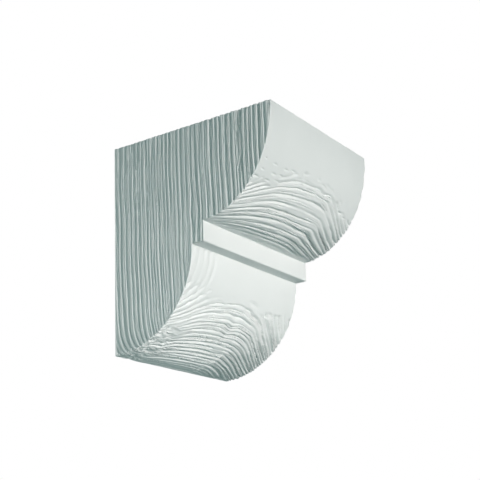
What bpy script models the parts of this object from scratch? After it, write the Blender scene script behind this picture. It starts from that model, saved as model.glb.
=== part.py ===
"""Polyurethane corbel: a wall bracket cast in one piece, with a deep wood-grain surface.

The corbel stands out from a wall. Seen from the side it is a quarter-round at the bottom,
a flat band that steps out past it, and a taller quarter-ellipse under a flat top. Both
sides and both curved faces carry the raised grain of the timber the mould was taken from.

The block is worked out in its own terms: x runs across the width, depth from the wall to
the front (-Y), and height from the lowest line up. The object is then lowered by half its
height, so that its origin is the middle of the flat back.
"""

import math

import bpy
import bmesh
import numpy as np
from mathutils import Vector
from mathutils.geometry import delaunay_2d_cdt

# Body sizes, in metres
WIDTH = 0.1778              # across the front
LOWER_REACH = 0.0889        # depth of the lower curve where it meets the band
LOWER_RISE = 0.0889         # height of the lower curve
BAND_STEP = 0.0127          # how far the band stands out past the lower curve
BAND_HEIGHT = 0.01905       # the band between the two curves
UPPER_REACH = 0.0762        # how far the upper curve runs out past the band
UPPER_RISE = 0.09525        # height of the upper curve
EDGE_RADIUS = 0.0012        # rounding of the band's lower edge and of the top's front edge

# Sizes that follow from them
HALF_WIDTH = WIDTH / 2
BAND_DEPTH = LOWER_REACH + BAND_STEP
DEPTH = BAND_DEPTH + UPPER_REACH
BAND_TOP = LOWER_RISE + BAND_HEIGHT
HEIGHT = BAND_TOP + UPPER_RISE
INNER_CORNERS = ((BAND_DEPTH, BAND_TOP), (LOWER_REACH, LOWER_RISE))

# Raised grain
RING_WIDTH = 0.0057         # from crest to crest, in most of the timber
RING_STRAY = 0.07           # how far a grain line may stray, as a share of the ring's width
SLOW_YEARS = (              # stretches of narrow rings: where, how far they spread, how much
    {"layer": 0.049, "spread": 0.022, "narrowing": 0.44},
    {"layer": 0.142, "spread": 0.009, "narrowing": 0.42},
)
SIDE_GROOVE = 0.0015        # deepest groove on the two sides
FRONT_GROOVE = 0.0013       # deepest groove on the curved faces
UPPER_PLAIN = 0.047         # arc length left smooth at the top of the upper curve
LOWER_PLAIN = 0.034         # arc length left smooth at the top of the lower curve
GRAIN_FADE = 0.014          # arc length over which the grain comes in below the smooth part
FOOT_FADE = 0.010           # arc length over which it goes out at the foot of a curve
WALL_FADE = 0.0025          # depth over which the sides' grain comes in from the wall

# How the growth layers lie in the block
LEAN = 0.016                # forward lean of a layer on its way down, as a slope
FOOT_SWEEP = 0.0055         # extra forward lean at the foot
FOOT_SWEEP_RISE = 0.018     # height over which that extra lean dies out
WAVE = 0.0005               # slow waviness of a layer
WAVE_LENGTH = 0.074         # height of one wave
WAVE_TURN = 30.0            # turn of the wave for each metre across, in radians

# The arches that the layers make on a curved face: the slope of each arm, and how far
# from the middle of the width it begins
UPPER_ARCH = {"left_slope": 0.38, "left_bend": 0.050, "right_slope": 0.40, "right_bend": 0.045}
LOWER_ARCH = {"left_slope": 0.42, "left_bend": 0.050, "right_slope": 0.58, "right_bend": 0.033}
BEND_SOFTNESS = 0.008

# Fineness of the mesh
CURVE_SAMPLES = 400         # samples from which a curve's arc length is worked out
NORMAL_REACH = 0.0004       # arc length each way over which a curve's direction is read
OUTLINE_STEP = 0.008        # longest stretch of a curve's outline between two vertices
COLUMN_STEP = 0.0135        # spacing of vertices along an arch, across the width
ROW_STEP = 0.016            # spacing of vertices along an upright line
NEAREST = 0.0009            # no two vertices of a face are closer than this
ROUND_FLATS = 3             # flats that make up a rounded edge
WELD = 0.00002              # vertices of two faces closer than this are one

FOAM_COLOUR = (0.84, 0.86, 0.85, 1.0)
FOAM_ROUGHNESS = 0.55


def hinge(value):
    """A soft hinge: nought well below zero, rising one for one well above it."""
    return BEND_SOFTNESS * np.logaddexp(0.0, value / BEND_SOFTNESS)


def arch(x, left_slope, left_bend, right_slope, right_bend):
    """How far a layer falls back at x from its foremost line, less that at the left side."""
    left, right = left_slope * hinge(-x - left_bend), right_slope * hinge(x - right_bend)
    at_left_side = left_slope * hinge(HALF_WIDTH - left_bend)
    return left + right - at_left_side


def forward_shift(x, height):
    """Depth of a layer at a place, less its depth at the top of the left side."""
    lean = LEAN * (HEIGHT - height) + FOOT_SWEEP * np.exp(-height / FOOT_SWEEP_RISE)
    wave = WAVE * np.sin(2 * math.pi * height / WAVE_LENGTH + WAVE_TURN * x)
    upper_share = np.interp(height, [LOWER_RISE, BAND_TOP, HEIGHT], [0.0, 1.0, 0.0])
    lower_share = np.interp(height, [0.0, LOWER_RISE], [1.0, 0.0])
    arches = upper_share * arch(x, **UPPER_ARCH) + lower_share * arch(x, **LOWER_ARCH)
    return lean + wave - arches


def layer(x, depth, height):
    """The growth layer that a point lies in, named by its depth at the top of the left side."""
    return depth - forward_shift(x, height)


def ring_width(value):
    """Width of the growth ring at a layer."""
    narrowing = sum(years["narrowing"] * math.exp(-((value - years["layer"]) / years["spread"]) ** 2)
                    for years in SLOW_YEARS)
    return RING_WIDTH * (1 - narrowing)


def line_depth(number):
    """How deep a grain line lies, as a share of the deepest groove: even ones are crests."""
    return 0.0 if number % 2 == 0 else 0.75 + 0.25 * math.sin(1.7 * number + 0.6)


def all_lines():
    """The layer of each grain line that can reach the block, by the line's number."""
    values = [float(layer(x, depth, height))
              for x in (-HALF_WIDTH, 0.0, HALF_WIDTH)
              for depth in (0.0, DEPTH)
              for height in (0.0, LOWER_RISE, BAND_TOP, HEIGHT)]
    even = {0: 0.0}
    for step, limit in ((1, max(values)), (-1, -min(values))):
        number, value = 0, 0.0
        while step * value < limit:
            value += step * ring_width(value) / 2
            number += step
            even[number] = value
    return {number: value + RING_STRAY * ring_width(value) * math.sin(2.4 * number)
            for number, value in sorted(even.items())}


LINES = all_lines()
LINE_LAYERS = list(LINES.values())
LINE_DEPTHS = [line_depth(number) for number in LINES]


def groove(x, depth, height):
    """Depth of the grain at a point, as a share of the deepest groove."""
    return float(np.interp(layer(x, depth, height), LINE_LAYERS, LINE_DEPTHS))


class Profile:
    """The outline from the flat top's front edge down to the wall, by its arc length."""

    def __init__(self):
        self.depth = [DEPTH - EDGE_RADIUS]
        self.height = [HEIGHT]
        self.spans = {}
        self._round("top_edge", HEIGHT - EDGE_RADIUS, DEPTH - EDGE_RADIUS, math.pi / 2)
        self._curve("upper", BAND_DEPTH, HEIGHT, UPPER_REACH, UPPER_RISE)
        self._stretch("band", [(BAND_DEPTH, LOWER_RISE + EDGE_RADIUS)])
        self._round("band_edge", LOWER_RISE + EDGE_RADIUS, BAND_DEPTH - EDGE_RADIUS, 0.0)
        self._stretch("soffit", [(LOWER_REACH, LOWER_RISE)])
        self._curve("lower", 0.0, LOWER_RISE, LOWER_REACH, LOWER_RISE)
        steps = np.hypot(np.diff(self.depth), np.diff(self.height))
        self.arc = np.concatenate([[0.0], np.cumsum(steps)])
        self.spans = {name: (float(self.arc[first]), float(self.arc[last]))
                      for name, (first, last) in self.spans.items()}

    def _stretch(self, name, points):
        """Carry the outline on through the points, and note where the stretch runs."""
        first = len(self.depth) - 1
        for depth, height in points:
            self.depth.append(depth)
            self.height.append(height)
        self.spans[name] = (first, len(self.depth) - 1)

    def _round(self, name, centre_height, centre_depth, begin):
        """Carry it on round an edge, a quarter turn clockwise from the angle begin."""
        angles = [begin - math.pi / 2 * i / ROUND_FLATS for i in range(1, ROUND_FLATS + 1)]
        self._stretch(name, [(centre_depth + EDGE_RADIUS * math.cos(angle),
                              centre_height + EDGE_RADIUS * math.sin(angle)) for angle in angles])

    def _curve(self, name, centre_depth, centre_height, reach, rise):
        """Carry it on down a quarter ellipse that bulges outwards, from where it stands."""
        begin = math.asin((centre_height - self.height[-1]) / rise)
        angles = np.linspace(begin, math.pi / 2, CURVE_SAMPLES + 1)[1:]
        self._stretch(name, [(centre_depth + reach * math.cos(angle),
                              centre_height - rise * math.sin(angle)) for angle in angles])

    def point(self, arc):
        """Depth and height at an arc length."""
        return (float(np.interp(arc, self.arc, self.depth)),
                float(np.interp(arc, self.arc, self.height)))

    def outward(self, name, arc):
        """Outward direction at an arc length of a curve, as depth and height."""
        first, last = self.spans[name]
        above = self.point(max(first, arc - NORMAL_REACH))
        below = self.point(min(last, arc + NORMAL_REACH))
        length = math.dist(above, below)
        return (above[1] - below[1]) / length, (below[0] - above[0]) / length

    def grain_strength(self, name, arc):
        """Strength of the grain at an arc length of a curve, from 0 where smooth to 1."""
        first, last = self.spans[name]
        plain = UPPER_PLAIN if name == "upper" else LOWER_PLAIN
        rising = (arc - first - plain) / GRAIN_FADE
        falling = (last - arc) / FOOT_FADE
        return min(1.0, max(0.0, min(rising, falling)))

    def sunk(self, name, x, arc):
        """Depth and height at an arc length of a curve, sunk in by the grain at x."""
        depth, height = self.point(arc)
        cut = FRONT_GROOVE * self.grain_strength(name, arc) * groove(x, depth, height)
        out_depth, out_height = self.outward(name, arc)
        return depth - cut * out_depth, height - cut * out_height

    def crossings(self, x, first, last):
        """Arc length where each grain line crosses a stretch of the outline at x."""
        inside = (self.arc > first - WELD) & (self.arc < last + WELD)
        depth, height = np.array(self.depth)[inside], np.array(self.height)[inside]
        values = layer(x, depth, height)
        return {number: float(np.interp(-value, -values, self.arc[inside]))
                for number, value in LINES.items() if values[-1] < value < values[0]}


class Side:
    """The left (-1) or right (+1) side: its outline's vertices, and its upright grain."""

    def __init__(self, profile, sign):
        self.profile = profile
        self.sign = sign
        self.x = sign * HALF_WIDTH
        rows = max(2, round(HEIGHT / ROW_STEP))
        self.row_heights = [HEIGHT * i / rows for i in range(1, rows)]
        self.lines = {number: value for number, value in LINES.items() if self._clears_corners(value)}
        self.stops = self._outline_stops()
        self.tops = self._line_tops()

    def _clears_corners(self, value):
        """Whether the line in a layer passes well clear of the outline's inner corners."""
        return all(abs(value + float(forward_shift(self.x, height)) - depth) > NEAREST
                   for depth, height in INNER_CORNERS)

    def _outline_stops(self):
        """Arc lengths of the outline's vertices, each with the grain line that ends there."""
        stops = {}
        for name, (first, last) in self.profile.spans.items():
            pieces = ROUND_FLATS if name.endswith("edge") else 1
            stops.update({first + (last - first) * i / pieces: None for i in range(pieces)})
            stops[last] = None
        corners = list(stops)
        for number, arc in self.profile.crossings(self.x, 0.0, max(corners)).items():
            if number in self.lines and min(abs(arc - corner) for corner in corners) > NEAREST:
                stops[arc] = number
        for name in ("upper", "lower"):
            first, last = self.profile.spans[name]
            inside = sorted(arc for arc in stops if first <= arc <= last)
            for low, high in zip(inside, inside[1:]):
                pieces = math.ceil((high - low) / OUTLINE_STEP)
                stops.update({low + (high - low) * i / pieces: None for i in range(1, pieces)})
        return dict(sorted(stops.items()))

    def _line_tops(self):
        """Depth at which each grain line starts, under the flat top."""
        shift = float(forward_shift(self.x, HEIGHT))
        front = DEPTH - EDGE_RADIUS - NEAREST
        return {number: value + shift for number, value in self.lines.items()
                if WALL_FADE < value + shift < front}

    def place(self, depth, height):
        """Where a point of the side lies in space, cut in by the side's grain."""
        cut = SIDE_GROOVE * min(1.0, depth / WALL_FADE) * groove(self.x, depth, height)
        return Vector((self.x - self.sign * cut, -depth, height))

    def outline_vertex(self, arc):
        """A vertex of the outline, cut in by the grain of the side and of the curve."""
        spot = self.place(*self.profile.point(arc))
        for name in ("upper", "lower"):
            first, last = self.profile.spans[name]
            if first < arc < last:
                depth, height = self.profile.sunk(name, self.x, arc)
                spot = Vector((spot.x, -depth, height))
        return spot

    def outline(self, first, last):
        """The outline's vertices between two arc lengths, going down."""
        return [self.outline_vertex(arc) for arc in self.stops if first - WELD < arc < last + WELD]

    def wall_edge(self):
        """The upright edge at the wall, going up."""
        return [self.place(0.0, height) for height in [0.0, *self.row_heights, HEIGHT]]

    def top_edge(self):
        """The edge under the flat top, from the wall to the front."""
        return [self.place(depth, HEIGHT) for depth in [0.0, *self.tops.values(), DEPTH - EDGE_RADIUS]]

    def build(self, bm):
        """Mesh the side between its outline, the wall and the top."""
        rim = [(self.profile.point(arc), self.outline_vertex(arc)) for arc in self.stops]
        straight = [(0.0, height) for height in [*self.row_heights, HEIGHT]]
        straight += [(depth, HEIGHT) for depth in self.tops.values()]
        rim += [(point, self.place(*point)) for point in straight]
        lines = []
        for arc, number in self.stops.items():
            if number is None:
                continue
            end = self.profile.point(arc)
            chain = [(self.tops[number], HEIGHT)] if number in self.tops else []
            for height in reversed(self.row_heights):
                point = (self.lines[number] + float(forward_shift(self.x, height)), height)
                above_end = height - end[1] > ROW_STEP / 4 and point[0] > WALL_FADE
                if above_end and min(math.dist(point, other) for other, _ in rim) > NEAREST:
                    chain.append(point)
            lines.append(chain + [end])
        fill(bm, rim, lines, self.place)


class Curve:
    """One of the two curved faces, with its arched grain."""

    def __init__(self, profile, name, sides):
        self.profile = profile
        self.name = name
        self.sides = sides
        self.first, self.last = profile.spans[name]
        columns = max(4, round(WIDTH / COLUMN_STEP))
        self.columns = [WIDTH * (i / columns - 0.5) for i in range(1, columns)]

    def place(self, x, arc):
        """Where a point of the curve lies in space, cut in by its grain."""
        depth, height = self.profile.sunk(self.name, x, arc)
        return Vector((x, -depth, height))

    def shows(self, arc):
        """Whether a grain line is cut at an arc length, clear of the foot of the curve."""
        return self.profile.grain_strength(self.name, arc) > 0.0 and self.last - arc > NEAREST

    def plain_rows(self):
        """Level lines across the smooth part, which keep its roundness in the mesh."""
        plain = UPPER_PLAIN if self.name == "upper" else LOWER_PLAIN
        rows = math.ceil(plain / OUTLINE_STEP)
        ends = (self.columns[0], self.columns[-1])
        return [[(x, self.first + plain * i / rows) for x in ends] for i in range(1, rows)]

    def arches(self):
        """The grain lines from the left side to the right one, broken where they don't show."""
        left, right = self.sides
        hits = {x: self.profile.crossings(x, self.first, self.last) for x in self.columns}
        for side in self.sides:
            hits[side.x] = {number: arc for arc, number in side.stops.items() if number is not None}
        found = []
        for number in LINES:
            found.append([])
            for x in (left.x, *self.columns, right.x):
                arc = hits[x].get(number, 0.0)
                if arc > self.first and self.shows(arc):
                    found[-1].append((x, arc))
                else:
                    found.append([])
        return [chain for chain in found if len(chain) > 1]

    def build(self, bm):
        """Mesh the curve between the two sides' outlines."""
        rim = []
        for side in self.sides:
            down = [((side.x, arc), side.outline_vertex(arc)) for arc in side.stops
                    if self.first <= arc <= self.last]
            rim += down if side.sign < 0 else down[::-1]
        fill(bm, rim, self.arches() + self.plain_rows(), self.place)


def fill(bm, rim, lines, place):
    """Mesh a face inside its rim, along the grain lines.

    rim is the closed outline as (flat point, place in space) pairs, lines are chains of
    flat points that may start or end on the rim, and place puts a flat point in space.
    """
    flat = [point for point, _ in rim]
    spots = [spot for _, spot in rim]
    known = {point: i for i, point in enumerate(flat)}
    edges = []
    for chain in lines:
        for point in chain:
            if point not in known:
                known[point] = len(flat)
                flat.append(point)
                spots.append(place(*point))
        edges += [(known[start], known[end]) for start, end in zip(chain, chain[1:])]
    border = [list(range(len(rim)))]
    points, _, faces, origins, _, _ = delaunay_2d_cdt([Vector(p) for p in flat], edges, border, 1, 1e-8)
    corners = [bm.verts.new(spots[origin[0]] if origin else place(*point))
               for point, origin in zip(points, origins)]
    for face in faces:
        bm.faces.new([corners[i] for i in face])


def build_flat(bm, left, right):
    """One flat face between a run of vertices on the left side and one on the right."""
    bm.faces.new([bm.verts.new(spot) for spot in left + right[::-1]])


def build_body():
    """The whole corbel as one closed mesh, its lowest line at height nought."""
    profile = Profile()
    left, right = sides = [Side(profile, sign) for sign in (-1, 1)]
    bm = bmesh.new()
    for side in sides:
        side.build(bm)
    for name, (first, last) in profile.spans.items():
        if name in ("upper", "lower"):
            Curve(profile, name, sides).build(bm)
            continue
        flats = ROUND_FLATS if name.endswith("edge") else 1
        step = (last - first) / flats
        for low in (first + step * i for i in range(flats)):
            build_flat(bm, left.outline(low, low + step), right.outline(low, low + step))
    build_flat(bm, left.top_edge(), right.top_edge())
    build_flat(bm, left.wall_edge(), right.wall_edge())
    bmesh.ops.remove_doubles(bm, verts=bm.verts[:], dist=WELD)
    bmesh.ops.recalc_face_normals(bm, faces=bm.faces[:])
    bmesh.ops.triangulate(bm, faces=bm.faces[:])
    mesh = bpy.data.meshes.new("corbel_body")
    bm.to_mesh(mesh)
    bm.free()
    return mesh


def foam_material():
    """Rigid polyurethane foam with its off-white primer, matt."""
    material = bpy.data.materials.new("primed_foam")
    material.use_nodes = True
    shader = material.node_tree.nodes["Principled BSDF"]
    shader.inputs["Base Color"].default_value = FOAM_COLOUR
    shader.inputs["Roughness"].default_value = FOAM_ROUGHNESS
    shader.inputs["Metallic"].default_value = 0.0
    return material


def main():
    for old in list(bpy.data.objects):
        bpy.data.objects.remove(old, do_unlink=True)
    body = bpy.data.objects.new("corbel_body", build_body())
    body.data.materials.append(foam_material())
    body.location.z = -HEIGHT / 2
    bpy.context.scene.collection.objects.link(body)


main()
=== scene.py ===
"""Looks of a wall corbel cast in rigid foam, with the raised grain of weathered timber.

The block is one piece. Its skin is modelled as plain faces first: the side outline is drawn
from the flat top's front edge down to the wall, drawn out across the width, and closed by the
two sides, the top and the back. Then narrow grooves are sunk into the faces, between the flat
tops of the growth rings. One field says which growth layer a point lies in, so a groove that
runs down a side turns over the edge into an arch on the curved face.

In the block's own terms x runs across the width, depth from the wall to the front (-Y), and
height from the lowest line up. Down is the way along the outline towards the wall.
"""

import logging
import math
from collections.abc import Callable
from dataclasses import dataclass, field
from enum import Enum

import bmesh
import bpy
import numpy as np
from mathutils import Matrix, Vector


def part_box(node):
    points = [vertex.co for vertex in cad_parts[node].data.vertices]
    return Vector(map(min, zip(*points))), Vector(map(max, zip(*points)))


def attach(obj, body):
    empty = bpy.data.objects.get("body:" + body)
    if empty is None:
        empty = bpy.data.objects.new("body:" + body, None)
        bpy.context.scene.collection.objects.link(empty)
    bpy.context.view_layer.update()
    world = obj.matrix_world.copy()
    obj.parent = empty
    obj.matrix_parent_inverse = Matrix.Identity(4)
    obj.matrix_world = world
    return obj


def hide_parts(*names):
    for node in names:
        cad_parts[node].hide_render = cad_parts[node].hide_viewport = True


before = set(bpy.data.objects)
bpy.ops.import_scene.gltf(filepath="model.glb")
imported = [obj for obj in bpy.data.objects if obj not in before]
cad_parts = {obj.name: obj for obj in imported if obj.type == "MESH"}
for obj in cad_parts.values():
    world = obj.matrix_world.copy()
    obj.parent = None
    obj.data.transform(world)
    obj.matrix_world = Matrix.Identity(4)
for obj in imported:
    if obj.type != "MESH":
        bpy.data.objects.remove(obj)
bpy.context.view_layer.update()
BODY_NODE = "corbel_body"
MM = 0.001
TOUCH = 0.01 * MM
ON_CURVE = 1e-4
ARC_SAMPLES = 400

log = logging.getLogger("corbel")


def smooth(value: np.ndarray) -> np.ndarray:
    """A soft step from 0 to 1 as the value goes from 0 to 1."""
    value = np.clip(value, 0.0, 1.0)
    return value * value * (3.0 - 2.0 * value)


def deselect() -> None:
    """Leave no object selected."""
    for other in bpy.context.selected_objects:
        other.select_set(False)


class Drift:
    """Smooth unevenness over a plane, the same each time for one seed."""

    CELLS = 61

    def __init__(self, seed: int) -> None:
        """Fill the plane's cells.

        Args:
            seed: Picks one pattern of unevenness.
        """
        self.values = np.random.default_rng(seed).uniform(-1.0, 1.0, (self.CELLS, self.CELLS))

    def at(self, along: np.ndarray, across: np.ndarray) -> np.ndarray:
        """Read the unevenness.

        Args:
            along: First coordinate, in cells.
            across: Second coordinate, in cells.

        Returns:
            Values between -1 and 1.
        """
        row, column = np.floor(along).astype(int), np.floor(across).astype(int)
        down, right = smooth(along - row), smooth(across - column)
        row, column = row % self.CELLS, column % self.CELLS
        next_row, next_column = (row + 1) % self.CELLS, (column + 1) % self.CELLS
        top = self.values[row, column] * (1 - right) + self.values[row, next_column] * right
        bottom = self.values[next_row, column] * (1 - right) + self.values[next_row, next_column] * right
        return top * (1 - down) + bottom * down


@dataclass(frozen=True)
class Mottle:
    """Unevenness of a face, by its pattern and the size of its cells."""

    seed: int
    wide: float
    high: float

    def at(self, across: np.ndarray, down: np.ndarray) -> np.ndarray:
        """Values between -1 and 1 at points of the face."""
        return Drift(self.seed).at(across / self.wide, down / self.high)


class Face(Enum):
    """The curved faces."""

    UPPER = "upper"
    LOWER = "lower"


@dataclass(frozen=True)
class Block:
    """The block's plain outline, in metres."""

    half_width: float
    depth: float
    height: float
    bottom: float
    lower_reach: float = 88.9 * MM
    lower_rise: float = 88.9 * MM
    band_step: float = 12.7 * MM
    band_height: float = 19.05 * MM
    edge_radius: float = 1.2 * MM

    @classmethod
    def from_frame(cls) -> "Block":
        """The block that fills the frame's own body."""
        low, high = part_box(BODY_NODE)
        return cls((high.x - low.x) / 2, high.y - low.y, high.z - low.z, low.z)

    @property
    def band_depth(self) -> float:
        """Depth of the flat band's face."""
        return self.lower_reach + self.band_step

    @property
    def band_top(self) -> float:
        """Height of the band's upper edge."""
        return self.lower_rise + self.band_height

    @property
    def upper_reach(self) -> float:
        """How far the upper curve runs out past the band."""
        return self.depth - self.band_depth

    @property
    def upper_rise(self) -> float:
        """Height of the upper curve."""
        return self.height - self.band_top

    def lower_turn(self, depth: np.ndarray, height: np.ndarray) -> np.ndarray:
        """Angle down the lower curve, from 0 under the band to a quarter turn at the wall."""
        return np.arctan2((self.lower_rise - height) / self.lower_rise, depth / self.lower_reach)

    def upper_turn(self, depth: np.ndarray, height: np.ndarray) -> np.ndarray:
        """Angle down the upper curve, from 0 under the top to a quarter turn at the band."""
        return np.arctan2((self.height - height) / self.upper_rise,
                          (depth - self.band_depth) / self.upper_reach)

    def arc(self, face: Face, turn: np.ndarray) -> np.ndarray:
        """Arc length down a curve.

        Args:
            face: Which of the two curves.
            turn: Angle down the curve.

        Returns:
            Arc length from the curve's top.
        """
        if face is Face.LOWER:
            return turn * self.lower_reach
        turns = np.linspace(0.0, math.pi / 2, ARC_SAMPLES)
        steps = np.hypot(np.diff(np.cos(turns)) * self.upper_reach, np.diff(np.sin(turns)) * self.upper_rise)
        return np.interp(turn, turns, np.concatenate([[0.0], np.cumsum(steps)]))

    def outward(self, face: Face, turn: np.ndarray) -> tuple[np.ndarray, np.ndarray]:
        """Outward direction on a curve.

        Args:
            face: Which of the two curves.
            turn: Angle down the curve.

        Returns:
            Its parts along depth and along height.
        """
        reach, rise = self.lower_reach, self.lower_rise
        if face is Face.UPPER:
            reach, rise = self.upper_reach, self.upper_rise
        out, up = np.cos(turn) / reach, -np.sin(turn) / rise
        length = np.hypot(out, up)
        return out / length, up / length


@dataclass(frozen=True)
class Arm:
    """One arm of the growth layers' arch: its slope, where it begins, and how softly it bends."""

    slope: float
    bend: float
    softness: float

    def fall(self, x: np.ndarray) -> np.ndarray:
        """How far a layer falls back at a distance from the middle of the width."""
        return self.slope * self.softness * np.logaddexp(0.0, (x - self.bend) / self.softness)


@dataclass(frozen=True)
class Arch:
    """The bend of the growth layers across the width."""

    left: Arm
    right: Arm
    right_gain: float = 0.0
    right_level: float = 0.0
    right_from: float = 105.0 * MM

    def fall(self, x: np.ndarray, depth: np.ndarray, half_width: float) -> np.ndarray:
        """How far a layer falls back.

        Args:
            x: Place across the width.
            depth: Depth, which makes the right arm steeper further out.
            half_width: Half the block's width.

        Returns:
            The falls, less the fall at the left side.
        """
        steeper = 1 + self.right_gain * (np.maximum(depth, self.right_from) - self.right_level)
        return self.left.fall(-x) + steeper * self.right.fall(x) - self.left.fall(np.float64(half_width))


@dataclass(frozen=True)
class SlowYears:
    """A stretch of narrow growth rings."""

    layer: float
    spread: float
    narrowing: float


@dataclass(frozen=True)
class FineLine:
    """A fine line between two main grooves: its share of the gap, half its width, and its pattern's row."""

    place: float
    half_width: float
    row: float


@dataclass(frozen=True)
class Timber:
    """The timber that the mould was taken from: how its layers lie and how its rings stand up."""

    block: Block
    ring_width: float = 5.7 * MM
    ring_stray: float = 0.10
    stray_turn: float = 4.8
    slow_years: tuple[SlowYears, ...] = (
        SlowYears(49 * MM, 22 * MM, 0.44),
        SlowYears(142 * MM, 9 * MM, 0.42),
    )
    past_front: float = 1.2
    behind_wall: float = 0.4
    lean: float = 0.010
    foot_sweep: float = 11.5 * MM
    foot_sweep_rise: float = 10.0 * MM
    slow_sweep: float = 4.0 * MM
    slow_sweep_rise: float = 48.0 * MM
    sweep_reach: float = 48.0 * MM
    sweep_fade: float = 35.0 * MM
    sweep_loss: float = 0.75
    wave: float = 0.4 * MM
    wave_length: float = 74.0 * MM
    wave_turn: float = 30.0
    upper_arch: Arch = Arch(Arm(0.70, 60 * MM, 21 * MM), Arm(0.42, 42 * MM, 10 * MM), 11.0, 135 * MM)
    lower_arch: Arch = Arch(Arm(0.50, 46 * MM, 14 * MM), Arm(0.60, 33 * MM, 9 * MM))
    front_wall: float = 1.0 * MM
    back_wall: float = 0.8 * MM
    wall_bend: float = 1.5
    change_height: float = 48.0 * MM
    change_span: float = 62.0 * MM
    slack_drop: float = 0.6
    slack_stretch: float = 1.6
    side_wander: float = 0.22 * MM
    face_wander: float = 0.75 * MM
    side_width: float = 0.82
    face_width: float = 0.95
    coarse_cell: tuple[float, float] = (24.0 * MM, 8.0 * MM)
    fine_cell: tuple[float, float] = (5.0 * MM, 2.2 * MM)
    fine_wander: float = 0.3
    mean_strength: float = 0.74
    strength_range: float = 0.26
    strength_turn: float = 2.9
    strength_start: float = 1.0
    spread_range: float = 0.25
    spread_turn: float = 1.9
    spread_start: float = 0.4
    ring_limits: tuple[float, float] = (0.7, 1.2)
    bead_length: float = 4.5 * MM
    bead_gain: float = 0.2
    bead_row: float = 5.3
    swell_length: float = 22.0 * MM
    swell_gain: float = 0.36
    swell_row: float = 3.7
    fine_lines: tuple[FineLine, ...] = (FineLine(0.40, 0.36 * MM, 0.5), FineLine(0.66, 0.30 * MM, 7.5))
    fine_line_strength: float = 0.55
    fine_line_level: float = 0.35
    fine_line_length: float = 14.0 * MM
    fine_line_row: float = 2.3
    crown: float = 0.16
    crown_tilt: float = 1.15
    grit: float = 0.08
    grit_cell: tuple[float, float] = (18.0 * MM, 0.9 * MM)
    deepest: float = 1.1
    seed: int = 11

    def layer(self, x: np.ndarray, depth: np.ndarray, height: np.ndarray) -> np.ndarray:
        """The growth layer that points lie in, named by its depth at the top of the left side."""
        block = self.block
        lean = self.lean * (block.height - height)
        sweep = self.foot_sweep * np.exp(-height / self.foot_sweep_rise)
        sweep = sweep + self.slow_sweep * np.exp(-height / self.slow_sweep_rise)
        lean = lean + sweep * (1 - self.sweep_loss * smooth((depth - self.sweep_reach) / self.sweep_fade))
        wave = self.wave * np.sin(2 * math.pi * height / self.wave_length + self.wave_turn * x)
        slack = np.clip(1 - depth / block.lower_reach, 0.0, 1.0)
        start = self.change_height * (1 - self.slack_drop * slack)
        upper_share = smooth((height - start) / (self.change_span * (1 + self.slack_stretch * slack)))
        upper = self.upper_arch.fall(x, depth, block.half_width)
        lower = self.lower_arch.fall(x, depth, block.half_width)
        return depth - lean - wave + upper_share * upper + (1 - upper_share) * lower

    def lines(self) -> np.ndarray:
        """Layers of the main grooves, from behind the wall to past the front."""
        found = [0.0]
        for step, reach in ((1, self.past_front), (-1, self.behind_wall)):
            limit = reach * self.block.depth
            value = 0.0
            while step * value < limit:
                slow = sum(years.narrowing * math.exp(-((value - years.layer) / years.spread) ** 2)
                           for years in self.slow_years)
                value += step * self.ring_width * (1 - slow)
                found.append(value)
        found.sort()
        widths = np.gradient(found)
        numbers = np.arange(len(found))
        return np.array(found) + self.ring_stray * widths * np.sin(self.stray_turn * numbers)

    def _drifts(self) -> tuple[Drift, Drift, Drift]:
        """The unevenness of the lines' places, of their floors and of their strength."""
        return Drift(self.seed), Drift(self.seed + 1), Drift(self.seed + 2)

    def _beading(self, number: np.ndarray, along: np.ndarray, breadth: float) -> np.ndarray:
        """How a line's strength swells and fades along it, in longer beads where it is narrow."""
        fine, swell = self._drifts()[1:]
        bead = self.bead_length / breadth ** 3
        wave = self.swell_length / breadth ** 2
        swelling = self.swell_gain * breadth ** 2 * swell.at(along / wave, number * self.swell_row)
        return 1 + swelling + self.bead_gain * breadth * fine.at(along / bead, number * self.bead_row)

    def hollow(self, layer: np.ndarray, along: np.ndarray, wander: float, breadth: float,
               widening: np.ndarray) -> np.ndarray:
        """How far the grooves sink the surface.

        Args:
            layer: The growth layer of each point.
            along: How far along the grain line each point is.
            wander: How far the lines stray.
            breadth: How wide the grooves are, 1 for full width.
            widening: How much wider they are at each point.

        Returns:
            Shares from 0 on a flat top to about 1 in a full groove.
        """
        coarse, fine, swell = self._drifts()
        length, width = self.coarse_cell
        layer = layer + wander * coarse.at(along / length, layer / width)
        length, width = self.fine_cell
        layer = layer + self.fine_wander * wander * fine.at(along / (length / breadth ** 4), layer / width)
        lines = self.lines()
        behind = np.clip(np.searchsorted(lines, layer) - 1, 0, len(lines) - 2)
        gap = lines[behind + 1] - lines[behind]
        numbers = np.arange(len(lines))
        swing = np.sin(self.strength_turn * numbers + self.strength_start)
        strength = self.mean_strength + self.strength_range * swing
        swing = np.sin(self.spread_turn * numbers + self.spread_start)
        spread = breadth * (1.0 + self.spread_range * swing)
        width = np.clip(gap / self.ring_width, *self.ring_limits)
        past = (layer - lines[behind]) / (self.front_wall * spread[behind] * width * widening)
        ahead = (lines[behind + 1] - layer) / (self.back_wall * spread[behind + 1] * width * widening)
        near = strength[behind] * self._beading(behind, along, breadth)
        far = strength[behind + 1] * self._beading(behind + 1, along, breadth)
        groove = np.maximum(near * np.exp(-past ** self.wall_bend), far * np.exp(-ahead ** self.wall_bend))
        length = self.fine_line_length / breadth ** 4
        for line in self.fine_lines:
            middle = (layer - lines[behind] - line.place * gap) / line.half_width
            shown = self.fine_line_level + swell.at(along / length, behind * self.fine_line_row + line.row)
            shown = np.clip(shown, 0.0, 1.0)
            groove = np.maximum(groove, self.fine_line_strength * shown * np.exp(-middle * middle))
        share = (layer - lines[behind]) / gap
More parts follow.
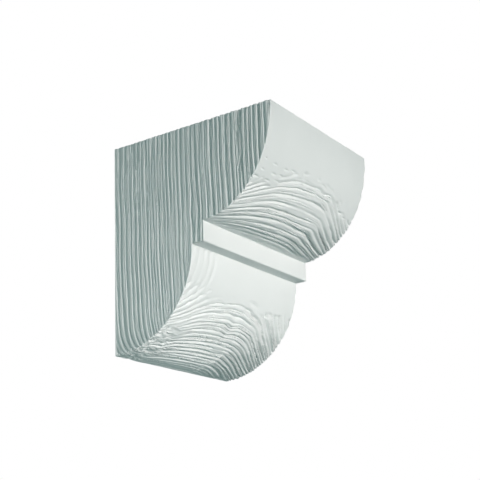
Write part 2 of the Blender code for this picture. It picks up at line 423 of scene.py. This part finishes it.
        crown = self.crown * np.abs(2 * share - self.crown_tilt) ** 2
        length, width = self.grit_cell
        sunk = np.maximum(groove, crown) + self.grit * fine.at(along / length, layer / width)
        return np.clip(sunk, 0, self.deepest)


@dataclass(frozen=True)
class Spot:
    """An oval place on a curved face, fading out from its middle."""

    face: Face
    x: float
    down: float
    half_across: float
    half_down: float

    def off(self, x: np.ndarray, down: np.ndarray) -> np.ndarray:
        """How far points are from the middle: the square of the share of the half sizes."""
        return ((x - self.x) / self.half_across) ** 2 + ((down - self.down) / self.half_down) ** 2


@dataclass(frozen=True)
class Patch(Spot):
    """A place where the grain is worn away, or is deeper and wider where the loss is below 0."""

    loss: float = 0.9

    def share(self, x: np.ndarray, down: np.ndarray) -> np.ndarray:
        """How much of the grain is lost at each point."""
        return self.loss * np.exp(-self.off(x, down) ** 2)


@dataclass(frozen=True)
class Ripple(Spot):
    """A place where the grain lines dip, or rise where the shift is below 0."""

    shift: float

    def move(self, x: np.ndarray, down: np.ndarray) -> np.ndarray:
        """How far the lines are shifted at each point."""
        return self.shift * np.exp(-self.off(x, down))


@dataclass(frozen=True)
class Pit:
    """A short dent across the width, in the upper part of the upper curve."""

    x: float
    down: float
    half_length: float = 2.2 * MM
    half_height: float = 0.8 * MM
    sunk: float = 1.2 * MM

    def cut(self, x: np.ndarray, down: np.ndarray) -> np.ndarray:
        """How deep the dent is at each point."""
        off = ((x - self.x) / self.half_length) ** 2 + ((down - self.down) / self.half_height) ** 2
        return self.sunk * np.exp(-off)


@dataclass
class Relief:
    """The raised grain on the block's faces."""

    block: Block
    timber: Timber
    side_groove: float = 1.9 * MM
    front_gain: float = 0.75
    front_gain_from: float = 75.0 * MM
    front_gain_span: float = 60.0 * MM
    side_start: float = 0.3
    knot_depth: float = 92.0 * MM
    knot_height: float = 120.0 * MM
    knot_half_width: float = 2.0 * MM
    knot_half_height: float = 13.0 * MM
    knot_push: float = 2.3 * MM
    knot_spread: float = 3.0
    front_groove: float = 2.8 * MM
    wall_fade: float = 2.5 * MM
    upper_plain: float = 46.0 * MM
    lower_plain: float = 33.0 * MM
    fade: float = 13.0 * MM
    upper_foot: float = 12.0 * MM
    lower_foot: float = 3.0 * MM
    worn_level: float = 0.10
    widening: float = 0.6
    arris: float = 2.2 * MM
    arris_sunk: float = 0.29
    arris_range: float = 0.9
    arris_mottle: Mottle = Mottle(81, 2.5 * MM, 1.0)
    ragged: float = 8.0 * MM
    ragged_mottle: Mottle = Mottle(31, 8 * MM, 5 * MM)
    mottles: tuple[tuple[float, Mottle], ...] = (
        (0.32 * MM, Mottle(41, 14 * MM, 19 * MM)),
        (0.10 * MM, Mottle(42, 4 * MM, 6 * MM)),
    )
    patches: tuple[Patch, ...] = (
        Patch(Face.UPPER, 35 * MM, 75 * MM, 13 * MM, 4 * MM),
        Patch(Face.UPPER, 3 * MM, 84.5 * MM, 12 * MM, 4 * MM),
        Patch(Face.UPPER, 14 * MM, 80 * MM, 29 * MM, 7 * MM, 0.5),
        Patch(Face.UPPER, 35 * MM, 87.5 * MM, 11 * MM, 4 * MM),
        Patch(Face.UPPER, -4 * MM, 102 * MM, 14 * MM, 4.5 * MM),
        Patch(Face.UPPER, 66 * MM, 104 * MM, 22 * MM, 13 * MM, -0.5),
        Patch(Face.UPPER, -8 * MM, 107 * MM, 62 * MM, 19 * MM, -0.45),
        Patch(Face.LOWER, -12 * MM, 128 * MM, 34 * MM, 7 * MM, 0.6),
        Patch(Face.LOWER, 6 * MM, 92 * MM, 9 * MM, 5 * MM),
        Patch(Face.LOWER, -64 * MM, 84 * MM, 9 * MM, 9 * MM, 0.8),
        Patch(Face.LOWER, 62 * MM, 108 * MM, 27 * MM, 22 * MM, -0.4),
        Patch(Face.LOWER, -26 * MM, 102 * MM, 38 * MM, 20 * MM, -0.75),
        Patch(Face.LOWER, 62 * MM, 46 * MM, 30 * MM, 9 * MM, -1.0),
        Patch(Face.LOWER, 68 * MM, 68 * MM, 26 * MM, 15 * MM, -0.6),
    )
    ripples: tuple[Ripple, ...] = (
        Ripple(Face.LOWER, 1 * MM, 66 * MM, 7 * MM, 15 * MM, 2.2 * MM),
        Ripple(Face.LOWER, 22 * MM, 104 * MM, 9 * MM, 14 * MM, -1.6 * MM),
        Ripple(Face.LOWER, 40 * MM, 60 * MM, 9 * MM, 12 * MM, -1.0 * MM),
        Ripple(Face.LOWER, -66 * MM, 104 * MM, 8 * MM, 20 * MM, 2.0 * MM),
        Ripple(Face.UPPER, 22 * MM, 56 * MM, 7 * MM, 6 * MM, 1.2 * MM),
        Ripple(Face.UPPER, 38 * MM, 58 * MM, 7 * MM, 6 * MM, -1.2 * MM),
        Ripple(Face.UPPER, 36 * MM, 92 * MM, 12 * MM, 14 * MM, -1.8 * MM),
    )
    pits: tuple[Pit, ...] = (
        Pit(-81 * MM, 52 * MM, 1.6 * MM), Pit(-65 * MM, 53 * MM), Pit(-47 * MM, 53 * MM),
        Pit(-36 * MM, 51 * MM, 3.0 * MM), Pit(-80 * MM, 62 * MM), Pit(-62 * MM, 61.5 * MM, 3.0 * MM),
        Pit(-51 * MM, 60 * MM), Pit(-83 * MM, 70 * MM), Pit(-67 * MM, 69 * MM, 2.6 * MM),
        Pit(-53 * MM, 66 * MM, 3.2 * MM), Pit(62 * MM, 65 * MM, 2.6 * MM), Pit(72 * MM, 68 * MM),
        Pit(14 * MM, 14.5 * MM, 3.0 * MM, 1.0 * MM, 0.6 * MM),
        Pit(-27 * MM, 22 * MM, 0.9 * MM, 3.2 * MM, 0.4 * MM),
    )
    left_plain: float = 20.0 * MM
    left_plain_from: float = 36.0 * MM
    left_plain_span: float = 25.0 * MM
    right_plain: float = 16.0 * MM
    right_plain_from: float = 45.0 * MM
    right_plain_span: float = 20.0 * MM
    streak: float = 1.3 * MM
    streak_gap: float = 8.5 * MM
    streak_bend: float = 0.0343 * MM
    streak_power: float = 1.55
    streak_breadth: float = 0.55
    streak_edge: float = -44.0 * MM
    streak_edge_span: float = 6.0 * MM
    streak_end: float = 64.0 * MM
    streak_end_span: float = 16.0 * MM
    streak_range: float = 0.4
    streak_mottle: Mottle = Mottle(61, 7 * MM, 12 * MM)
    stirred_left: float = -58.0 * MM
    stirred_down: float = 72.0 * MM
    stirred_span: float = 12.0 * MM
    stirred_shift: float = 3.0 * MM
    stirred_shift_mottle: Mottle = Mottle(51, 6 * MM, 4 * MM)
    stirred_cut: float = 1.3 * MM
    stirred_cut_mottle: Mottle = Mottle(52, 7 * MM, 3 * MM)

    def strength(self, face: Face, x: np.ndarray, down: np.ndarray, length: float) -> np.ndarray:
        """Strength of the grain on a curved face.

        Args:
            face: Which of the two curves.
            x: Place across the width.
            down: Arc length from the curve's top.
            length: Arc length of the whole curve.

        Returns:
            Strengths from 0 where the face is plain to 1.
        """
        plain, foot = self.upper_plain, self.upper_foot
        if face is Face.LOWER:
            plain, foot = self.lower_plain, self.lower_foot
        else:
            plain = plain + self.left_plain * smooth((-x - self.left_plain_from) / self.left_plain_span)
            plain = plain + self.right_plain * smooth((x - self.right_plain_from) / self.right_plain_span)
        ragged = self.ragged * self.ragged_mottle.at(x, down)
        coming = smooth((down - plain + ragged) / self.fade)
        return coming * smooth((length - down) / foot)

    def _stirred(self, x: np.ndarray, down: np.ndarray) -> np.ndarray:
        """Share of the knotty, stirred grain in the lower left of the lower curve."""
        left = smooth((self.stirred_left - x) / self.stirred_span)
        return left * smooth((down - self.stirred_down) / self.stirred_span)

    def _streaks(self, x: np.ndarray, down: np.ndarray) -> np.ndarray:
        """Faint steep streaks down the upper left of the lower curve."""
        across = x + self.streak_bend * (down / MM) ** self.streak_power
        lines = np.exp(-(np.sin(math.pi * across / self.streak_gap) / self.streak_breadth) ** 2)
        shown = smooth((self.streak_edge - across) / self.streak_edge_span)
        shown = shown * smooth((self.streak_end - down) / self.streak_end_span)
        uneven = 1 - self.streak_range + self.streak_range * self.streak_mottle.at(across, down)
        return self.streak * lines * shown * uneven

    def _arris(self, distance: np.ndarray, down: np.ndarray) -> np.ndarray:
        """How far a curved face is rounded off, raggedly, at a distance from its edge."""
        left = np.clip(1 - distance / self.arris, 0.0, 1.0)
        ragged = 1 + self.arris_range * self.arris_mottle.at(down, np.zeros_like(down))
        return self.arris_sunk * self.arris * left * left * ragged

    def sink_curve(self, face: Face, x: np.ndarray, depth: np.ndarray, height: np.ndarray,
                   ) -> tuple[np.ndarray, np.ndarray]:
        """Sink the grooves of the grain into a curved face.

        Args:
            face: Which of the two curves.
            x: Place across the width.
            depth: Depth of each point of the plain face.
            height: Height of each point of the plain face.

        Returns:
            The new depths and heights.
        """
        block = self.block
        turn = block.lower_turn(depth, height) if face is Face.LOWER else block.upper_turn(depth, height)
        down = block.arc(face, turn)
        length = float(block.arc(face, np.float64(math.pi / 2)))
        layer = self.timber.layer(x, depth, height)
        layer = layer + sum(ripple.move(x, down) for ripple in self.ripples if ripple.face is face)
        if face is Face.LOWER:
            shift = self.stirred_shift * self._stirred(x, down)
            layer = layer + shift * self.stirred_shift_mottle.at(x, down)
        kept = np.ones_like(x)
        for patch in self.patches:
            if patch.face is face:
                kept = kept * (1 - patch.share(x, down))
        widening = 1 + self.widening * np.clip(kept - 1, 0.0, 1.0)
        timber = self.timber
        hollow = timber.hollow(layer, x, timber.face_wander, timber.face_width, widening)
        share = kept * hollow + (1 - kept) * self.worn_level
        cut = self.front_groove * self.strength(face, x, down, length) * share
        if face is Face.LOWER:
            rough = self.stirred_cut * np.abs(self.stirred_cut_mottle.at(x, down))
            cut = cut + self._stirred(x, down) * rough
        for rise, mottle in self.mottles:
            cut = cut + rise * mottle.at(x, down)
        if face is Face.UPPER:
            cut = cut + sum(pit.cut(x, down) for pit in self.pits)
        else:
            cut = cut + self._streaks(x, down)
        cut = np.clip(cut, 0.0, None) + self._arris(block.half_width - np.abs(x), down)
        out, up = block.outward(face, turn)
        return depth - cut * out, height - cut * up

    def sink_side(self, x: np.ndarray, depth: np.ndarray, height: np.ndarray) -> np.ndarray:
        """Sink the grooves of the grain into a side.

        Args:
            x: Place across the width, on one side or the other.
            depth: Depth of each point of the plain face.
            height: Height of each point of the plain face.

        Returns:
            The new places across the width.
        """
        layer = self.timber.layer(x, depth, height)
        knot_off = (depth - self.knot_depth) / self.knot_half_width
        knot_up = (height - self.knot_height) / self.knot_half_height
        knot_share = np.exp(-(knot_off / self.knot_spread) ** 2 - knot_up ** 2)
        layer = layer - self.knot_push * np.tanh(knot_off) * knot_share
        strength = 1 + self.front_gain * smooth((depth - self.front_gain_from) / self.front_gain_span)
        strength = strength * smooth(depth / self.wall_fade)
        timber = self.timber
        along = height + self.side_start
        hollow = timber.hollow(layer, along, timber.side_wander, timber.side_width, np.ones_like(x))
        return x - np.sign(x) * self.side_groove * strength * hollow


@dataclass
class Corbel:
    """The corbel's skin, as one closed mesh."""

    block: Block
    relief: Relief
    columns: tuple[int, int] = (10, 10)
    edge_turn: float = math.radians(0.8)
    edge_steps: int = 4
    upper_plain_turn: float = math.radians(26)
    upper_plain_steps: int = 26
    upper_steps: int = 174
    lower_plain_turn: float = math.radians(22)
    lower_plain_steps: int = 20
    lower_steps: int = 196
    band_cuts: int = 7
    soffit_cuts: int = 14
    round_segments: int = 5
    long_share: float = 0.8
    rows: dict[int, tuple[int, int]] = field(default_factory=lambda: {-1: (32, 38), 1: (16, 18)})
    row_grading: float = 1.5
    column_grading: float = 0.65
    smooth_angle: float = math.radians(65)
    piece: bpy.types.Object = field(init=False)

    def _edges(self, chosen: Callable[[Vector, Vector], bool]) -> None:
        """Select the edges for which the test holds, in edge mode."""
        bpy.ops.mesh.select_mode(type="EDGE")
        bpy.ops.mesh.select_all(action="DESELECT")
        skin = bmesh.from_edit_mesh(self.piece.data)
        for edge in [edge for edge in skin.edges if chosen(*(vert.co for vert in edge.verts))]:
            edge.select_set(True)
        bmesh.update_edit_mesh(self.piece.data)

    def _subdivide_links(self, cuts: int) -> None:
        """Cut the edges that join what is selected to the rest of the mesh."""
        skin = bmesh.from_edit_mesh(self.piece.data)
        links = [edge for edge in skin.edges if edge.verts[0].select != edge.verts[1].select]
        bpy.ops.mesh.select_all(action="DESELECT")
        for edge in links:
            edge.select_set(True)
        bmesh.update_edit_mesh(self.piece.data)
        bpy.ops.mesh.subdivide(number_cuts=cuts)

    def _extrude(self, move: tuple[float, float, float]) -> None:
        """Extrude what is selected by a move."""
        bpy.ops.mesh.extrude_region_move(TRANSFORM_OT_translate={"value": move})

    def _spin(self, centre_depth: float, centre_height: float, turn: float, steps: int) -> None:
        """Carry the outline on round a centre, downwards and back."""
        bpy.ops.mesh.spin(steps=steps, angle=-turn, axis=(1, 0, 0),
                          center=(-self.block.half_width, -centre_depth, centre_height))

    def draw_outline(self) -> None:
        """Draw the left side's outline, from the top's front edge down to the wall."""
        block = self.block
        deselect()
        start = (-block.half_width, -(block.band_depth + block.upper_rise), block.height)
        bpy.ops.mesh.primitive_plane_add(size=block.edge_radius, location=start)
        self.piece = bpy.context.active_object
        self.piece.name = "grained_skin"
        self.piece.data.name = "grained_skin"
        bpy.ops.object.transform_apply(location=True)
        bpy.ops.object.mode_set(mode="EDIT")
        bpy.ops.mesh.select_all(action="SELECT")
        bpy.ops.mesh.merge(type="CENTER")
        self._spin(block.band_depth, block.height, self.edge_turn, self.edge_steps)
        self._spin(block.band_depth, block.height, self.upper_plain_turn - self.edge_turn,
                   self.upper_plain_steps)
        self._spin(block.band_depth, block.height, math.pi / 2 - self.upper_plain_turn, self.upper_steps)
        bpy.ops.mesh.select_all(action="SELECT")
        bpy.ops.transform.resize(value=(1, block.upper_reach / block.upper_rise, 1),
                                 center_override=(0, -block.band_depth, 0))
        self._select_end()
        self._extrude((0, 0, -block.band_height))
        self._extrude((0, block.band_step, 0))
        self._spin(0.0, block.lower_rise, self.lower_plain_turn, self.lower_plain_steps)
        self._spin(0.0, block.lower_rise, math.pi / 2 - self.lower_plain_turn, self.lower_steps)
        self._round_band()

    def _select_end(self) -> None:
        """Select the outline's last vertex, at the band's top."""
        bpy.ops.mesh.select_mode(type="VERT")
        bpy.ops.mesh.select_all(action="DESELECT")
        skin = bmesh.from_edit_mesh(self.piece.data)
        min(skin.verts, key=lambda vert: vert.co.z).select_set(True)
        bmesh.update_edit_mesh(self.piece.data)

    def _round_band(self) -> None:
        """Round the band's lower edge, and cut the band and its underside into rows."""
        block = self.block
        bpy.ops.mesh.select_mode(type="VERT")
        bpy.ops.mesh.select_all(action="DESELECT")
        corner = Vector((-block.half_width, -block.band_depth, block.lower_rise))
        skin = bmesh.from_edit_mesh(self.piece.data)
        min(skin.verts, key=lambda vert: (vert.co - corner).length).select_set(True)
        bmesh.update_edit_mesh(self.piece.data)
        bpy.ops.mesh.bevel(offset=block.edge_radius, segments=self.round_segments, affect="VERTICES")
        self._edges(lambda a, b: abs(a.z - b.z) > self.long_share * block.band_height)
        bpy.ops.mesh.subdivide(number_cuts=self.band_cuts)
        self._edges(lambda a, b: abs(a.y - b.y) > self.long_share * block.band_step)
        bpy.ops.mesh.subdivide(number_cuts=self.soffit_cuts)

    def draw_across(self) -> None:
        """Draw the outline out across the width, in columns."""
        bpy.ops.mesh.select_all(action="SELECT")
        self._extrude((2 * self.block.half_width, 0, 0))
        for cuts in self.columns:
            self._edges(lambda a, b: abs(a.x - b.x) > TOUCH)
            bpy.ops.mesh.subdivide(number_cuts=cuts)

    def raise_side(self, sign: int) -> None:
        """Close one side, in three courses that stand on the outline.

        Args:
            sign: -1 for the left side, +1 for the right one.
        """
        block = self.block
        x = sign * block.half_width
        foot_rows, head_rows = self.rows[sign]

        def on_side(a: Vector, b: Vector) -> bool:
            """Whether both ends of an edge lie on this side."""
            return abs(a.x - x) < TOUCH and abs(b.x - x) < TOUCH

        courses = (
            (block.lower_rise, foot_rows, lambda a, b: max(-a.y, -b.y) < block.lower_reach + TOUCH
             and max(a.z, b.z) < block.lower_rise + TOUCH),
            (block.band_top, self.band_cuts, lambda a, b: min(a.z, b.z) > block.lower_rise - TOUCH
             and max(a.z, b.z) < block.lower_rise + block.edge_radius + TOUCH),
            (block.height, head_rows, lambda a, b: min(a.z, b.z) > block.band_top - TOUCH),
        )
        for top, rows, stands in courses:
            self._edges(lambda a, b: on_side(a, b) and stands(a, b))
            self._extrude((0, 0, 0))
            bpy.ops.transform.resize(value=(1, 1, 0), center_override=(x, 0, top))
            self._subdivide_links(rows)
            bpy.ops.mesh.select_all(action="SELECT")
            bpy.ops.mesh.remove_doubles(threshold=TOUCH / 10)

    def close(self) -> None:
        """Close the flat top and the flat back."""
        block = self.block
        bpy.ops.mesh.select_mode(type="VERT")
        bpy.ops.mesh.select_all(action="DESELECT")
        skin = bmesh.from_edit_mesh(self.piece.data)
        for vert in skin.verts:
            at_back = abs(vert.co.y) < TOUCH and abs(vert.co.z - block.height) < TOUCH
            vert.select_set(at_back)
        bmesh.update_edit_mesh(self.piece.data)
        bpy.ops.mesh.edge_face_add()
        for axis, level in ((2, block.height), (1, 0.0)):
            self._edges(lambda a, b: abs(a[axis] - level) < TOUCH and abs(b[axis] - level) < TOUCH)
            skin = bmesh.from_edit_mesh(self.piece.data)
            for edge in [edge for edge in skin.edges if edge.select and len(edge.link_faces) > 1]:
                edge.select_set(False)
            bmesh.update_edit_mesh(self.piece.data)
            bpy.ops.mesh.edge_face_add()
        bpy.ops.mesh.select_all(action="SELECT")
        bpy.ops.mesh.normals_make_consistent(inside=False)
        bpy.ops.object.mode_set(mode="OBJECT")

    def _grade(self, x: np.ndarray, depth: np.ndarray, height: np.ndarray,
               ) -> tuple[np.ndarray, np.ndarray]:
        """Bring columns and rows closer together towards the edges.

        Args:
            x: Place of each vertex across the width.
            depth: Its depth.
            height: Its height.

        Returns:
            The new x and the new height.
        """
        block = self.block
        share = (x / block.half_width + 1) / 2
        graded = (1 - self.column_grading) * share + self.column_grading * smooth(share)
        on_side = np.abs(np.abs(x) - block.half_width) < TOUCH
        foot = on_side & (height < block.lower_rise - TOUCH) & (depth < block.lower_reach)
        curve = block.lower_rise * (1 - np.sqrt(np.clip(1 - (depth / block.lower_reach) ** 2, 0, 1)))
        height = self._crowd(height, curve, block.lower_rise, foot)
        head = on_side & (height > block.band_top + TOUCH)
        out = np.clip((depth - block.band_depth) / block.upper_reach, 0, 1)
        curve = block.height - block.upper_rise * np.sqrt(1 - out ** 2)
        height = self._crowd(height, curve, block.height, head)
        return (2 * graded - 1) * block.half_width, height

    def _crowd(self, height: np.ndarray, low: np.ndarray, high: float, chosen: np.ndarray) -> np.ndarray:
        """Crowd the chosen heights towards the lower end of their stretch."""
        room = np.maximum(high - low, TOUCH)
        share = np.clip((height - low) / room, 0, 1)
        return np.where(chosen, low + room * share ** self.row_grading, height)

    def carve(self) -> None:
        """Bring columns and rows to their places, and sink the grooves of the grain into the faces."""
        block, mesh = self.block, self.piece.data
        spots = np.empty(len(mesh.vertices) * 3, dtype=np.float32)
        mesh.vertices.foreach_get("co", spots)
        spots = spots.reshape(-1, 3).astype(np.float64)
        x, depth, height = spots[:, 0], -spots[:, 1], spots[:, 2]
        x, height = self._grade(x, depth, height)
        side = np.abs(np.abs(x) - block.half_width) < TOUCH
        lower = (depth < block.lower_reach + TOUCH) & (height < block.lower_rise - TOUCH)
        lower &= np.abs(np.hypot(depth / block.lower_reach, 1 - height / block.lower_rise) - 1) < ON_CURVE
        upper = (depth > block.band_depth + TOUCH) & (height < block.height - TOUCH)
        off = np.hypot((depth - block.band_depth) / block.upper_reach,
                       (block.height - height) / block.upper_rise)
        upper &= np.abs(off - 1) < ON_CURVE
        new_x, new_depth, new_height = x.copy(), depth.copy(), height.copy()
        new_x[side] = self.relief.sink_side(x[side], depth[side], height[side])
        for face, chosen in ((Face.LOWER, lower), (Face.UPPER, upper)):
            sunk = self.relief.sink_curve(face, x[chosen], depth[chosen], height[chosen])
            new_depth[chosen], new_height[chosen] = sunk
        spots = np.stack([new_x, -new_depth, new_height + block.bottom], axis=1)
        mesh.vertices.foreach_set("co", spots.astype(np.float32).ravel())
        mesh.update()

    def build(self) -> bpy.types.Object:
        """Model the whole skin.

        Returns:
            The finished piece, undressed.
        """
        self.draw_outline()
        self.draw_across()
        for sign in (-1, 1):
            self.raise_side(sign)
        self.close()
        self.carve()
        bpy.ops.object.shade_smooth_by_angle(angle=self.smooth_angle)
        for face in self.piece.data.polygons:
            if len(face.vertices) > 4:
                face.use_smooth = False
        return self.piece


@dataclass(frozen=True)
class PrimedFoam:
    """Off-white primer over rigid foam, matt, with the fine fibre of the timber under it."""

    colour: tuple[float, float, float] = (0.84, 0.86, 0.85)
    roughness: float = 0.6
    fibre_width: float = 0.45 * MM
    fibre_stretch: float = 0.03
    fibre_detail: float = 3.0
    cloud_scale: float = 28.0
    cloud_detail: float = 4.0
    darkest: float = 0.965
    palest: float = 1.02
    glossier: float = 0.02
    duller: float = 0.03
    bump: float = 0.25
    bump_height: float = 0.12 * MM

    def material(self) -> bpy.types.Material:
        """Make the material.

        Returns:
            A new node material.
        """
        material = bpy.data.materials.new("primed_foam_finish")
        material.use_nodes = True
        tree = material.node_tree
        shader = tree.nodes["Principled BSDF"]
        shader.inputs["Metallic"].default_value = 0.0
        place = tree.nodes.new("ShaderNodeTexCoord").outputs["Object"]
        drawn_out = (1, 1, self.fibre_stretch)
        fibres = self._noise(tree, place, drawn_out, 1 / self.fibre_width, self.fibre_detail)
        cloud = self._noise(tree, place, (1, 1, 1), self.cloud_scale, self.cloud_detail)
        tint = tree.nodes.new("ShaderNodeMix")
        tint.data_type = "RGBA"
        tint.inputs["A"].default_value = (*(self.darkest * part for part in self.colour), 1.0)
        tint.inputs["B"].default_value = (*(self.palest * part for part in self.colour), 1.0)
        tree.links.new(cloud, tint.inputs["Factor"])
        tree.links.new(tint.outputs["Result"], shader.inputs["Base Color"])
        gloss = tree.nodes.new("ShaderNodeMapRange")
        gloss.inputs["To Min"].default_value = self.roughness - self.glossier
        gloss.inputs["To Max"].default_value = self.roughness + self.duller
        tree.links.new(cloud, gloss.inputs["Value"])
        tree.links.new(gloss.outputs["Result"], shader.inputs["Roughness"])
        bump = tree.nodes.new("ShaderNodeBump")
        bump.inputs["Strength"].default_value = self.bump
        bump.inputs["Distance"].default_value = self.bump_height
        tree.links.new(fibres, bump.inputs["Height"])
        tree.links.new(bump.outputs["Normal"], shader.inputs["Normal"])
        return material

    def _noise(self, tree: bpy.types.NodeTree, place: bpy.types.NodeSocket,
               stretch: tuple[float, float, float], scale: float, detail: float) -> bpy.types.NodeSocket:
        """Add a noise pattern.

        Args:
            tree: The material's nodes.
            place: Coordinates to read.
            stretch: Scale along each axis, below 1 where the pattern is drawn out.
            scale: Cells for each metre.
            detail: Levels of finer noise in it.

        Returns:
            The pattern's value.
        """
        mapping = tree.nodes.new("ShaderNodeMapping")
        mapping.inputs["Scale"].default_value = stretch
        noise = tree.nodes.new("ShaderNodeTexNoise")
        noise.inputs["Scale"].default_value = scale
        noise.inputs["Detail"].default_value = detail
        tree.links.new(place, mapping.inputs["Vector"])
        tree.links.new(mapping.outputs["Vector"], noise.inputs["Vector"])
        return noise.outputs["Fac"]


@dataclass(frozen=True)
class Lamp:
    """A soft round light whose beam is aimed at one place and fades out from there."""

    name: str
    place: tuple[float, float, float]
    aim: tuple[float, float, float]
    radius: float
    power: float
    beam: float
    colour: tuple[float, float, float] = (1.0, 1.0, 1.0)

    def hang(self) -> None:
        """Add the light to the scene."""
        light = bpy.data.lights.new(self.name, "SPOT")
        light.shadow_soft_size = self.radius
        light.spot_size = math.radians(self.beam)
        light.spot_blend = 1.0
        light.energy = self.power
        light.color = self.colour
        lamp = bpy.data.objects.new(self.name, light)
        lamp.location = self.place
        way = Vector(self.aim) - lamp.location
        lamp.rotation_euler = way.to_track_quat("-Z", "Y").to_euler()
        bpy.context.scene.collection.objects.link(lamp)


@dataclass(frozen=True)
class Studio:
    """The camera, the lights and the floor around the corbel."""

    eye: tuple[float, float, float] = (-0.80863, -0.61550, -0.29990)
    heading: float = -56.572
    pitch: float = 17.948
    roll: float = -2.414
    lens: float = 79.108
    sensor: float = 36.0
    nearest: float = 0.01
    furthest: float = 60.0
    floor_level: float = -1.25
    floor_size: float = 14.0
    floor_colour: tuple[float, float, float] = (0.84, 0.85, 0.85)
    sky: tuple[float, float, float] = (0.145, 0.225, 0.22)
    ground: tuple[float, float, float] = (0.130, 0.198, 0.192)
    lamps: tuple[Lamp, ...] = (
        Lamp("key", (-0.63, -2.41, -0.05), (0.035, -0.09, -0.13), 0.24, 211.0, 24.0, (1.0, 0.93, 0.915)),
        Lamp("fill", (-1.9, -1.25, -0.9), (-0.08, 0.0, -0.17), 0.3, 49.0, 18.0, (0.88, 1.0, 0.99)),
        Lamp("bounce", (-0.17, 0.86, -1.15), (0.0, -0.03, -0.1), 0.15, 5.0, 28.0, (0.93, 1.0, 0.98)),
        Lamp("rear", (1.05, 2.2, 1.0), (0.0, -0.06, 0.0), 0.4, 190.0, 24.0, (0.99, 1.0, 0.99)),
        Lamp("overhead", (0.0, -0.09, 2.3), (0.0, -0.09, 0.1), 0.24, 32.0, 22.0, (1.0, 0.95, 0.94)),
    )

    def camera(self) -> None:
        """Stand the camera where the photographer did."""
        view = bpy.data.cameras.new("photographer")
        view.lens = self.lens
        view.sensor_width = self.sensor
        view.clip_start = self.nearest
        view.clip_end = self.furthest
        camera = bpy.data.objects.new("photographer", view)
        turn = (Matrix.Rotation(math.radians(self.heading), 4, "Z")
                @ Matrix.Rotation(math.radians(90 + self.pitch), 4, "X")
                @ Matrix.Rotation(math.radians(self.roll), 4, "Z"))
        camera.matrix_world = Matrix.Translation(self.eye) @ turn
        bpy.context.scene.collection.objects.link(camera)
        bpy.context.scene.camera = camera

    def world(self) -> None:
        """Light the room evenly, and show it white behind the corbel."""
        world = bpy.data.worlds.new("studio")
        bpy.context.scene.world = world
        world.use_nodes = True
        tree = world.node_tree
        nodes, link = tree.nodes, tree.links.new
        room = nodes["Background"]
        place = nodes.new("ShaderNodeTexCoord")
        split = nodes.new("ShaderNodeSeparateXYZ")
        level = nodes.new("ShaderNodeMapRange")
        level.inputs["From Min"].default_value = -1.0
        blend = nodes.new("ShaderNodeMix")
        blend.data_type = "RGBA"
        blend.inputs["A"].default_value = (*self.ground, 1.0)
        blend.inputs["B"].default_value = (*self.sky, 1.0)
        link(place.outputs["Generated"], split.inputs["Vector"])
        link(split.outputs["Z"], level.inputs["Value"])
        link(level.outputs["Result"], blend.inputs["Factor"])
        link(blend.outputs["Result"], room.inputs["Color"])
        white = nodes.new("ShaderNodeBackground")
        white.inputs["Color"].default_value = (1.0, 1.0, 1.0, 1.0)
        seen = nodes.new("ShaderNodeLightPath")
        either = nodes.new("ShaderNodeMixShader")
        link(seen.outputs["Is Camera Ray"], either.inputs["Fac"])
        link(room.outputs["Background"], either.inputs[1])
        link(white.outputs["Background"], either.inputs[2])
        link(either.outputs["Shader"], nodes["World Output"].inputs["Surface"])

    def floor(self) -> None:
        """Lay the pale floor, well below the corbel."""
        deselect()
        bpy.ops.mesh.primitive_plane_add(size=self.floor_size, location=(0, 0, self.floor_level))
        floor = bpy.context.active_object
        floor.name = "floor"
        bpy.ops.object.transform_apply(location=True)
        paint = bpy.data.materials.new("pale_floor")
        paint.use_nodes = True
        nodes, link = paint.node_tree.nodes, paint.node_tree.links.new
        nodes.remove(nodes["Principled BSDF"])
        glow, pale = nodes.new("ShaderNodeEmission"), nodes.new("ShaderNodeEmission")
        glow.inputs["Color"].default_value = (*self.ground, 1.0)
        pale.inputs["Color"].default_value = (*self.floor_colour, 1.0)
        seen = nodes.new("ShaderNodeLightPath")
        either = nodes.new("ShaderNodeMixShader")
        link(seen.outputs["Is Camera Ray"], either.inputs["Fac"])
        link(glow.outputs["Emission"], either.inputs[1])
        link(pale.outputs["Emission"], either.inputs[2])
        link(either.outputs["Shader"], nodes["Material Output"].inputs["Surface"])
        floor.data.materials.append(paint)

    def build(self) -> None:
        """Set the whole studio up."""
        self.camera()
        self.world()
        for lamp in self.lamps:
            lamp.hang()
        self.floor()
        bpy.context.scene.view_settings.view_transform = "Standard"


def main() -> None:
    """Build the corbel's looks and the studio around it."""
    logging.basicConfig(level=logging.INFO, format="%(name)s: %(message)s")
    Studio().build()
    block = Block.from_frame()
    corbel = Corbel(block, Relief(block, Timber(block)))
    skin = corbel.build()
    skin.data.materials.clear()
    skin.data.materials.append(PrimedFoam().material())
    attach(skin, "root")
    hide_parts(BODY_NODE)
    log.info("%s: %d triangles", skin.name, sum(len(face.vertices) - 2 for face in skin.data.polygons))
    bpy.context.view_layer.update()


if __name__ == "__main__":
    main()
